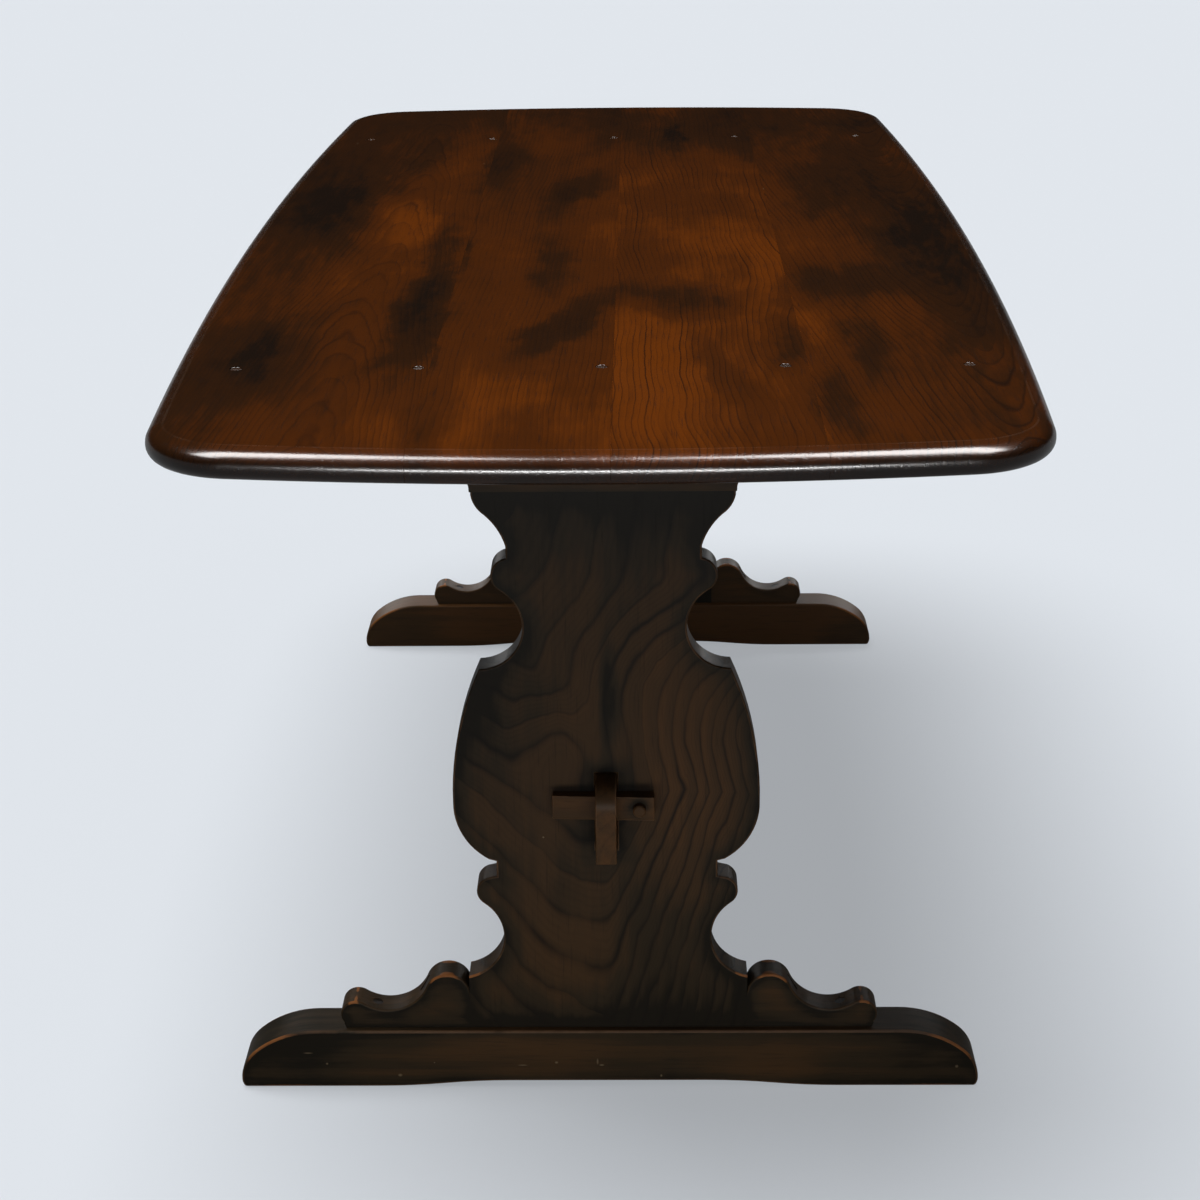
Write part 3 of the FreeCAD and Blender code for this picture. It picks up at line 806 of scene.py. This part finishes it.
# Plugs in the top: a row of short round pegs, each with its own turn and slight tilt
def makePlugTree():
    tree = bpy.data.node_groups.new("plugRow", "GeometryNodeTree")
    face = tree.interface
    face.new_socket("Geometry", in_out="OUTPUT", socket_type="NodeSocketGeometry")
    for label, kind in (
        ("First", "Vector"), ("Pitch", "Float"), ("Count", "Int"), ("Radius", "Float"), ("Height", "Float"),
        ("Ease", "Float"), ("Sides", "Int"), ("Tilt", "Float"), ("Seed", "Int"), ("Material", "Material"),
    ):
        face.new_socket(label, in_out="INPUT", socket_type="NodeSocket" + kind)
    take = tree.nodes.new("NodeGroupInput").outputs

    def shape(kind, inputs, **settings):
        return put(tree, "GeometryNode" + kind, inputs, **settings).outputs

    def joined(x=0.0, y=0.0, z=0.0):
        return put(tree, "ShaderNodeCombineXYZ", {0: x, 1: y, 2: z}).outputs[0]

    line = shape("MeshLine", {
        "Count": take["Count"], "Start Location": take["First"], "Offset": joined(x=take["Pitch"]),
    }, mode="OFFSET")
    straight = calc(tree, "SUBTRACT", take["Height"], take["Ease"])
    peg = shape("MeshCylinder", {"Vertices": take["Sides"], "Radius": take["Radius"], "Depth": straight})
    crown = shape("ExtrudeMesh", {
        "Mesh": peg["Mesh"], "Selection": peg["Top"], "Offset": joined(z=take["Ease"]), "Offset Scale": 1.0,
    }, mode="FACES")
    shrink = calc(tree, "DIVIDE", calc(tree, "SUBTRACT", take["Radius"], take["Ease"]), take["Radius"])
    eased = shape("ScaleElements", {"Geometry": crown["Mesh"], "Selection": crown["Top"], "Scale": shrink})
    drop = timesPlus(tree, straight, -0.5, times(tree, take["Ease"], -1.0))
    seated = shape("Transform", {"Geometry": eased[0], "Translation": joined(z=drop)})
    lean = times(tree, take["Tilt"], -1.0)
    limits = {0: joined(lean, lean), 1: joined(take["Tilt"], take["Tilt"], math.tau), "Seed": take["Seed"]}
    chance = put(tree, "FunctionNodeRandomValue", limits, data_type="FLOAT_VECTOR").outputs[0]
    row = shape("InstanceOnPoints", {"Points": line[0], "Instance": seated[0], "Rotation": chance})
    real = shape("RealizeInstances", {0: row[0]})
    painted = shape("SetMaterial", {"Geometry": real[0], "Material": take["Material"]})
    tree.links.new(painted[0], tree.nodes.new("NodeGroupOutput").inputs[0])
    return tree


plugLook = {
    **boardLook, "seed": (8.0, 2.0, 1.0), "ringSpacing": 0.003, "lineDepth": 0.5,
    "depth": 0.55, "underShare": 0.0,
    "roughness": 0.48, "specular": 0.2, "poreRelief": 0.8, "bump": 0.5,
}


def setInputs(modifier, tree, values):
    for item in tree.interface.items_tree:
        if item.in_out == "INPUT" and item.name in values:
            modifier[item.identifier] = values[item.name]


def makePlugs():
    tree = makePlugTree()
    material = stainedWood("plugWood", Vector((0, 0, 0)), plugLook)
    for side, node in enumerate(("near_top_plugs", "far_top_plugs")):
        low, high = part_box(node)
        diameter, pitch, places = plugPlaces(node)
        plugs = newObject(node + "_row", bpy.data.meshes.new(node + "_row"))
        rows = plugs.modifiers.new("plugRow", "NODES")
        rows.node_group = tree
        setInputs(rows, tree, {
            "First": places[0], "Pitch": pitch, "Count": plugRow["count"], "Sides": plugRow["sides"],
            "Radius": diameter / 2 * plugRow["fit"], "Height": high.z - low.z, "Ease": plugRow["ease"],
            "Tilt": plugRow["tilt"], "Seed": plugRow["seed"] + side, "Material": material,
        })
        baked(plugs)
        dress(plugs, material, "table", "plug_wood", node)


makePlugs()
print("top: plugs")


# Trestle wood: darker than the top, satin
trestleLook = {
    **boardLook, "ringSpacing": 0.012, "lineWidth": 0.5, "lineDepth": 0.25, "poreDepth": 0.3,
    "lineColour": (0.011, 0.0085, 0.0058, 1),
    "cloudScale": 6.0, "cloudShare": 0.4, "depth": 0.30, "streakShare": 0.25, "underShare": 0.0,
    "patchWander": (0.02, 0.04, 0.0),
    "stain": (
        (0.0, (0.094, 0.0430, 0.0150, 1)),
        (0.35, (0.060, 0.0320, 0.0135, 1)),
        (0.7, (0.033, 0.0220, 0.0115, 1)),
        (1.0, (0.014, 0.0110, 0.0068, 1)),
    ),
    # The pale colour along the arrises is partly real rubbing and partly a painted highlight
    "rubbed": (0.20, 0.105, 0.055, 1), "rubLow": 0.40, "rubHigh": 0.66, "rubDepth": 0.45, "nickSize": 0.04,
    "roughness": 0.36, "hazeShare": 0.12, "specular": 0.03,
}

# A worn spot is its place by shares of the piece's box, once for both faces and both ends, and its size.
# What differs on the far trestle is under "far"
endPanel = {
    "ease": 0.0018,
    "eased": (0.103, 0.613),
    "look": {
        **trestleLook, "grain": "Z", "heart": (0.005, 0.0, -0.045), "lean": -0.55, "leanFrom": -0.03,
        "taper": 0.9, "crowding": 3.2, "spread": 2.0, "spreadFrom": 0.02, "spreadTo": 0.20,
        "waviness": 0.05, "waveScale": 7.0, "ripple": 0.010, "ringSpacing": 0.041,
        "knot": (-0.047, 0.03, 0.0), "knotSize": 0.05, "knotLift": 0.07,
        "lineWidth": 0.5, "lineDepth": 0.9, "fineDepth": 0.16, "ringShare": 0.22, "rimShare": 0.5,
        "streakShare": 0.14, "depth": 0.26,
    },
    "rimReach": 0.024,
    "seeds": {"near": (0.0, 0.0, 0.0), "far": (3.0, 1.0, 0.0)},
    "patches": [
        # Painted shadow: a narrow dark strip on the panel just above the tenon
        patchAt(0.002, 0.075, 0.009, 0.05, 0.6),
        patchAt(-0.11, 0.07, 0.02, 0.05, 0.3),
        # Painted shade: even dark bands across the panel's head under the top and across its foot
        patchAt(0.0, 0.30, 0.4, 0.08, 0.55, even=True),
        patchAt(0.0, -0.31, 0.4, 0.07, 0.45, even=True),
        patchAt(0.07, -0.02, 0.05, 0.12, -0.15),
        patchAt(-0.03, -0.19, 0.05, 0.08, -0.15),
    ],
    "arrises": [
        ((0.45, 0.5, 0.13), (0.016, 0.01, 0.014)),
    ],
}
foot = {
    "ease": 0.0022,
    "eased": (-1.0, 1.0),
    "look": {
        **trestleLook, "grain": "X", "heart": (0.03, 0.0, -0.06), "taper": 0.02, "waviness": 0.02,
        # The pale line along the front arris is partly real rubbing and partly a painted highlight
        "lineDepth": 0.06, "rubLow": 0.25, "rubHigh": 0.55, "rubDepth": 0.36, "bareDepth": 0.5,
        "rimShare": 0.35, "depth": 0.36,
    },
    # Painted light: the far foot is stained lighter than the near one, for the shade it stands in under the
    # top
    "far": {"depth": -0.20, "rimShare": 0.1, "rubDepth": 0.08},
    "rimReach": 0.014,
    "seeds": {"near": (1.0, 0.0, 0.5), "far": (6.0, 1.0, 0.3)},
    "patches": [
        patchAt(0.0, -0.31, 0.04, 0.06, 0.40),
        patchAt(-0.01, 0.32, 0.04, 0.045, 0.40),
        patchAt(0.0, 0.05, 0.03, 0.07, 0.22),
        patchAt(0.01, 0.16, 0.03, 0.04, -0.10),
        patchAt(0.01, -0.10, 0.03, 0.06, -0.08),
    ],
    "arrises": [
        ((0.46, 0.5, 0.70), (0.045, 0.01, 0.035)),
        ((0.44, 0.5, 0.0), (0.05, 0.01, 0.004)),
    ],
    # Small marks on the near one's front: x, z, half width and half height
    "scratchDepth": 0.002,
    "scratches": [
        (-0.293, 0.038, 0.006, 0.0009),
        (-0.275, 0.026, 0.0016, 0.0016),
        (-0.204, 0.013, 0.0028, 0.0022),
        (-0.170, 0.027, 0.0010, 0.0010),
        (-0.084, 0.024, 0.0065, 0.0008),
        (-0.051, 0.027, 0.0022, 0.0018),
        (-0.011, 0.028, 0.0012, 0.0045),
        (-0.007, 0.024, 0.0032, 0.0014),
        (0.051, 0.012, 0.0014, 0.0020),
        (0.338, 0.022, 0.0022, 0.0022),
    ],
}
bracket = {
    "ease": 0.0020,
    "eased": (0.0625, 1.0),
    "look": {
        **trestleLook, "grain": "X", "heart": (0.0, 0.0, -0.05), "taper": 0.1, "waviness": 0.02,
        "lineDepth": 0.25, "rubLow": 0.45, "rubHigh": 0.75, "rubDepth": 0.12, "rimShare": 0.5,
        "depth": 0.50,
    },
    # Painted light: the far brackets are stained lighter than the near ones, for the shade they stand in
    # under the top
    "far": {"depth": 0.25, "rimShare": 0.2, "rubDepth": 0.1},
    "rimReach": 0.014,
    "seeds": {"near": (2.0, 0.5, 0.5), "far": (7.0, 2.0, 0.3)},
    "arrises": [
        ((0.90, 0.5, 0.46), (0.008, 0.01, 0.006)),
        ((0.20, 0.5, 0.94), (0.024, 0.01, 0.016)),
    ],
    "crests": [
        ((0.882, 0.36, 0.502), (0.0026, 0.013, 0.0030)),
        ((0.17, 0.45, 1.0), (0.014, 0.0085, 0.0040)),
    ],
}
bearer = {
    "ease": 0.002,
    "eased": (0.613, 0.692),
    "look": {**trestleLook, "grain": "X", "heart": (0.0, 0.0, -0.09), "waviness": 0.02},
    "seeds": {"near": (4.0, 1.5, 0.5), "far": (9.0, 2.5, 0.3)},
}
stretcherRail = {
    "ease": 0.0012,
    "look": {
        **trestleLook, "grain": "Y", "heart": (0.04, 0.0, -0.05), "waviness": 0.025, "depth": 0.22,
    },
    "seeds": {"stretcher": (0.0, 0.0, 0.0)},
}
key = {
    "ease": 0.0009,
    "shortest": 0.006,
    "look": {
        **trestleLook, "grain": "X", "heart": (0.0, 0.0, -0.04), "ringSpacing": 0.006, "waviness": 0.008,
        "depth": 0.14, "rubDepth": 0.3,
    },
    "seeds": {"near": (5.0, 0.0, 0.0), "far": (2.0, 3.0, 0.0)},
    "pegShadow": {"halfWidth": 0.010, "halfLength": 0.010, "depth": 0.9},
}


def spotsOn(node, spots):
    # A piece that is alike at both ends has its spots at both. A bracket's are counted from its inner end
    low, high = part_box(node)
    middle = (low + high) / 2
    size = high - low
    inner, toe = sorted((low.x, high.x), key=abs)
    placed = []
    for (along, across, up), reach in spots:
        ends = [middle.x - along * size.x, middle.x + along * size.x]
        if "bracket" in node:
            ends = [inner + along * (toe - inner)]
        for x in ends:
            for y in (middle.y - across * size.y, middle.y + across * size.y):
                placed.append({"place": (x, y, low.z + up * size.z), "size": reach})
    return placed


def scratchesOn(node):
    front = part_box(node)[0].y
    return [
        {"place": (x, front, z), "size": (width, foot["scratchDepth"], height)}
        for x, z, width, height in foot["scratches"]
    ]


def bracketEdge(node):
    # Its outline without the upright edge against the panel
    outline = outlineEdge(node, *bracket["eased"])
    inner = min((corner.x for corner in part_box(node)), key=abs)
    return lambda edge: outline(edge) and any(
        abs(vert.co.x - inner) > meshLimits["same"] for vert in edge.verts)


def makeEased(node, piece, picks, patches=(), shift=(0, 0, 0), body="table", slot="trestle_wood"):
    # One piece of a trestle: an eased copy in a wood of its own
    side = node.split("_")[0]
    look = {**piece["look"], "seed": Vector(piece["seeds"][side]) + Vector(shift), **piece.get(side, {})}
    wear = {kind: spotsOn(node, piece.get(kind, ())) for kind in ("arrises", "crests")}
    if node == "near_foot":
        wear["scratches"] = scratchesOn(node)
    wood = stainedWood(node + "Wood", middleOf(node), look, patches, wear)
    dress(easedCopy(node, piece["ease"], picks, piece.get("rimReach")), wood, body, slot, node)


def makeTrestle(side):
    for name, piece in (("end_panel", endPanel), ("foot", foot), ("bearer", bearer)):
        node = f"{side}_{name}"
        makeEased(node, piece, outlineEdge(node, *piece["eased"]), piece.get("patches", ()))
    for number in (1, 2):
        node = f"{side}_bracket_{number}"
        makeEased(node, bracket, bracketEdge(node), shift=(0, number, 0))
    peg = middleOf(f"{side}_key_peg") - middleOf(f"{side}_key")
    shadow = patchAt(peg.z, peg.x, **key["pegShadow"])
    for name, patches in (("key", [shadow]), ("key_peg", [])):
        makeEased(f"{side}_{name}", key, lambda edge: edge.calc_length() > key["shortest"], patches,
                  body=f"{side}_wedge", slot="key_wood")


def alongRail(edge):
    # Edges of the stretcher in a plane across the table's width
    first, last = edge.verts
    return abs(first.co.x - last.co.x) < meshLimits["same"]


for side in ("near", "far"):
    makeTrestle(side)
makeEased("stretcher", stretcherRail, alongRail)
print("trestles, stretcher, keys and pegs")


# Bracket plugs and the hidden screws keep their CAD shapes
screwSteel = {
    "colour": (0.42, 0.41, 0.39, 1),
    "tarnish": (0.16, 0.13, 0.10, 1),
    "grainScale": 300.0,
}


def makeScrewSteel():
    material, tree, shader = newMaterial("screwSteel")
    where = put(tree, "ShaderNodeTexCoord").outputs["Object"]
    spots = fade(tree, noise(tree, where, screwSteel["grainScale"], 4.0, 0.6), 0.4, 0.65)
    colour = blendColour(tree, spots, screwSteel["colour"], screwSteel["tarnish"])
    tree.links.new(colour, shader.inputs["Base Color"])
    tree.links.new(timesPlus(tree, spots, 0.3, 0.3), shader.inputs["Roughness"])
    shader.inputs["Metallic"].default_value = 1.0
    return material


def paintCadNodes():
    steel = makeScrewSteel()
    endGrain = stainedWood("bracketPlugWood", Vector((0, 0, 0)), {**plugLook, "grain": "Z", "depth": 1.0})
    for name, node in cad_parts.items():
        if not node.hide_render:
            node.data.materials.clear()
            node.data.materials.append(steel if name.endswith("screws") else endGrain)


paintCadNodes()
print("bracket plugs and screws painted")


# Stage
stage = {
    "floorColour": (0.726, 0.763, 0.810, 1),
    "bounceColour": (0.22, 0.225, 0.23, 1),
    "floorReach": 150.0,
    "world": (0.004, 0.004, 0.0043, 1),
    "backdrop": (0.745, 0.783, 0.831, 1),
    "mirrored": 0.003,
    "floorMirrored": 0.3,
    "evenShare": 0.47,
}


def rayShares(tree):
    # Rays from the camera, also through glass, and rays from a glossy surface
    rays = put(tree, "ShaderNodeLightPath").outputs
    return calc(tree, "MAXIMUM", rays["Is Camera Ray"], rays["Is Transmission Ray"]), rays["Is Glossy Ray"]


def makeFloor():
    reach = stage["floorReach"]
    mesh = bpy.data.meshes.new("floor")
    corners = [(-reach, -reach, 0), (reach, -reach, 0), (reach, reach, 0), (-reach, reach, 0)]
    mesh.from_pydata(corners, [], [(0, 1, 2, 3)])
    floor = newObject("floor", mesh)
    material, tree, shader = newMaterial("paleFloor")
    shader.inputs["Roughness"].default_value = 1.0
    shader.inputs["Specular IOR Level"].default_value = 0.0
    # Seen by the camera, the floor is partly its own even colour, so the shadow on it is a light one.
    # It throws less light back up under the table, and the lacquer mirrors a part of it
    seen, glossy = rayShares(tree)
    lit = blendColour(tree, seen, stage["bounceColour"], stage["floorColour"])
    tree.links.new(lit, shader.inputs["Base Color"])
    even = put(tree, "ShaderNodeEmission", {"Color": stage["floorColour"]}).outputs[0]
    share = calc(tree, "MAXIMUM", seen, times(tree, glossy, stage["floorMirrored"]))
    share = times(tree, share, stage["evenShare"])
    both = put(tree, "ShaderNodeMixShader", {0: share, 1: shader.outputs[0], 2: even}).outputs[0]
    tree.links.new(both, tree.nodes["Material Output"].inputs["Surface"])
    mesh.materials.append(material)
    return floor


def makeWorld():
    world = bpy.data.worlds.new("studio")
    bpy.context.scene.world = world
    world.use_nodes = True
    tree = world.node_tree
    # Pale behind the table, of which its lacquer mirrors a little
    seen, glossy = rayShares(tree)
    share = calc(tree, "MAXIMUM", seen, times(tree, glossy, stage["mirrored"]))
    colour = blendColour(tree, share, stage["world"], stage["backdrop"])
    tree.links.new(colour, tree.nodes["Background"].inputs["Color"])


suns = {
    "sky": {"strength": 0.40, "angle": 120, "from": (0.0, 0.0, 1.0)},
    "key": {"strength": 3.05, "angle": 46, "from": (-0.22, 0.12, 1.0)},
}
highlights = {
    "leftBox": {"at": (-1.05, -1.25, 2.6), "towards": (-0.3, -0.8, 0.72), "size": (0.9, 1.6), "power": 120},
    "rightBox": {"at": (1.0, -1.3, 2.6), "towards": (0.3, -0.8, 0.72), "size": (1.0, 1.7), "power": 150},
    "frontStrip": {"at": (0, -4.6, 0.46), "towards": (0, -0.83, 0.70), "size": (2.6, 0.14), "power": 190},
    "backScreen": {"at": (0.0, 5.0, 0.8), "towards": (0.0, 0.0, 0.4), "size": (5.0, 1.2), "power": 105},
}
endFill = {"size": (0.8, 0.22), "power": 1.75}
sideFill = {"size": (0.22, 1.6), "power": 4.5}
fills = {
    "frontFill": {**endFill, "at": (0.0, -1.02, 0.04), "towards": (0.0, -0.59, 0.38)},
    "backFill": {**endFill, "at": (0.0, 1.02, 0.04), "towards": (0.0, 0.59, 0.38)},
    "leftFill": {**sideFill, "at": (-1.1, 0.1, 0.05), "towards": (0.0, 0.1, 0.4)},
    "rightFill": {**sideFill, "at": (1.1, 0.1, 0.05), "towards": (0.0, 0.1, 0.4)},
}


def hang(name, light, facing):
    lamp = newObject(name, light)
    lamp.rotation_mode = "QUATERNION"
    lamp.rotation_quaternion = facing.to_track_quat("-Z", "Y")
    return lamp


def makeSun(name, lamp):
    # A wide soft light that leaves the highlights to the boxes
    light = bpy.data.lights.new(name, "SUN")
    light.energy = lamp["strength"]
    light.angle = math.radians(lamp["angle"])
    hang(name, light, -Vector(lamp["from"])).visible_glossy = False


def makeBox(name, lamp, highlight):
    # A soft box that either shows only as a highlight or lights without one
    light = bpy.data.lights.new(name, "AREA")
    light.shape = "RECTANGLE"
    light.size, light.size_y = lamp["size"]
    light.energy = lamp["power"]
    box = hang(name, light, Vector(lamp["towards"]) - Vector(lamp["at"]))
    box.location = lamp["at"]
    box.visible_diffuse = not highlight
    box.visible_glossy = highlight
    box.visible_camera = False
    return box


def leaveOut(lamp, *pieces):
    # This lamp doesn't light these pieces
    unlit = bpy.data.collections.new(lamp.name + "LeavesOut")
    for piece in pieces:
        unlit.objects.link(piece)
    for entry in unlit.collection_objects:
        entry.light_linking.link_state = "EXCLUDE"
    lamp.light_linking.receiver_collection = unlit


# Camera, as the photograph was taken: angles in radians
camera = {
    "place": (0.0324, -2.5742, 1.2701),
    "yaw": -0.01815,
    "pitch": 0.36685,
    "roll": 0.01145,
    "lens": 70.69,
    "sensor": 36.0,
}


def makeCamera():
    data = bpy.data.cameras.new("camera")
    data.lens = camera["lens"]
    data.sensor_width = camera["sensor"]
    eye = newObject("camera", data)
    # Level it looks along Y. Yaw turns it to the right, pitch down
    place = Matrix.Translation(camera["place"])
    for angle, axis in (
        (-camera["yaw"], "Z"), (math.pi / 2 - camera["pitch"], "X"), (-camera["roll"], "Z"),
    ):
        place = place @ Matrix.Rotation(angle, 4, axis)
    eye.matrix_world = place
    bpy.context.scene.camera = eye


floor = makeFloor()
makeWorld()
for name, lamp in suns.items():
    makeSun(name, lamp)
for name, lamp in highlights.items():
    box = makeBox(name, lamp, highlight=True)
    if name == "backScreen":
        leaveOut(box, floor, *topBoards)
for name, lamp in fills.items():
    leaveOut(makeBox(name, lamp, highlight=False), floor)
makeCamera()
bpy.context.scene.view_settings.view_transform = "Standard"
print("stage, lamps and camera")
